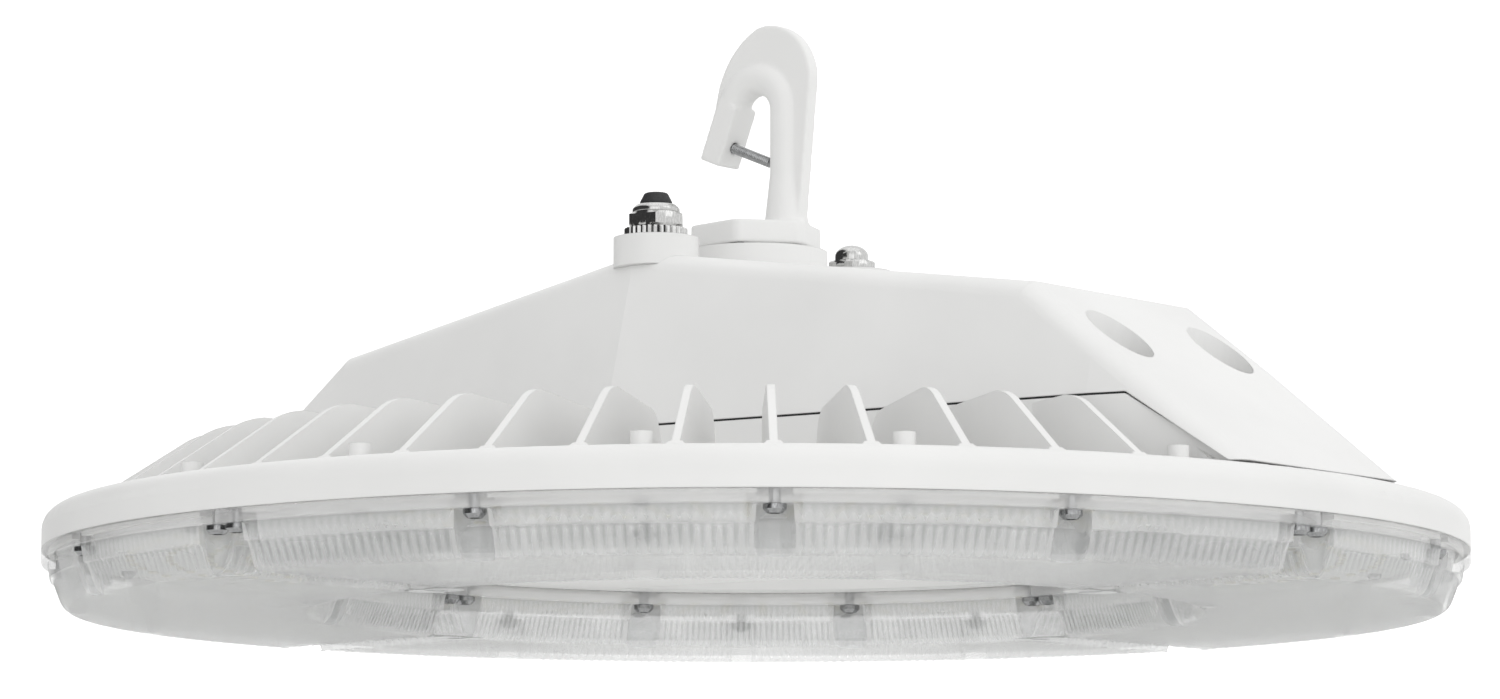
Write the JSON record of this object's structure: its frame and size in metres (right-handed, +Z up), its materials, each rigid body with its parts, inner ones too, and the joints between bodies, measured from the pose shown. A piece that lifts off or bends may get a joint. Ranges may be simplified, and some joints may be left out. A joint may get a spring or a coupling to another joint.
{
  "type": "high bay light",
  "caption": "Round high bay light: finned heat-sink ring with a driver box across it, a hook on top and ribbed clear lenses below.",
  "frame": {"origin": "middle of the plane that the lenses rest on", "axes": "+Z up to the hook, +X along the driver tray"},
  "size_m": [0.54, 0.54, 0.2273],
  "materials": {
    "white_powder_coat": "satin powder coat on a die casting",
    "dark_rubber": "moulded rubber",
    "stainless_steel": "plain stainless fasteners",
    "nickel_plated_brass": "bright nickel plate",
    "clear_polycarbonate": "clear moulded lens with fine ribs",
    "white_silicone": "silicone gasket",
    "board_white": "white solder mask",
    "led_phosphor": "phosphor-covered chips",
    "driver_case": "plain extruded case",
    "terminal_plastic": "moulded terminal block"
  },
  "bodies": {
    "root": {"heatsink_ring": "white_powder_coat", "driver_cover": "white_powder_coat", "hook": "white_powder_coat", "cover_gasket": "dark_rubber", "hook_seal": "dark_rubber", "gland_plug": "dark_rubber", "cover_screws": "stainless_steel", "hook_latch_screw": "stainless_steel", "hook_lock_screw": "stainless_steel", "hook_nut": "stainless_steel", "lens_screws": "stainless_steel", "board_screws": "stainless_steel", "driver_screws": "stainless_steel", "gland_ring": "nickel_plated_brass", "gland_body": "nickel_plated_brass", "gland_cap": "nickel_plated_brass", "vent_body": "nickel_plated_brass", "vent_cap": "nickel_plated_brass", "led_driver": "driver_case", "terminal_block": "terminal_plastic", "lens_1": "clear_polycarbonate", "lens_gasket_1": "white_silicone", "led_board_1": "board_white", "led_array_1": "led_phosphor", "lens_2": "clear_polycarbonate", "lens_gasket_2": "white_silicone", "led_board_2": "board_white", "led_array_2": "led_phosphor", "lens_3": "clear_polycarbonate", "lens_gasket_3": "white_silicone", "led_board_3": "board_white", "led_array_3": "led_phosphor", "lens_4": "clear_polycarbonate", "lens_gasket_4": "white_silicone", "led_board_4": "board_white", "led_array_4": "led_phosphor"}
  },
  "joints": []
}
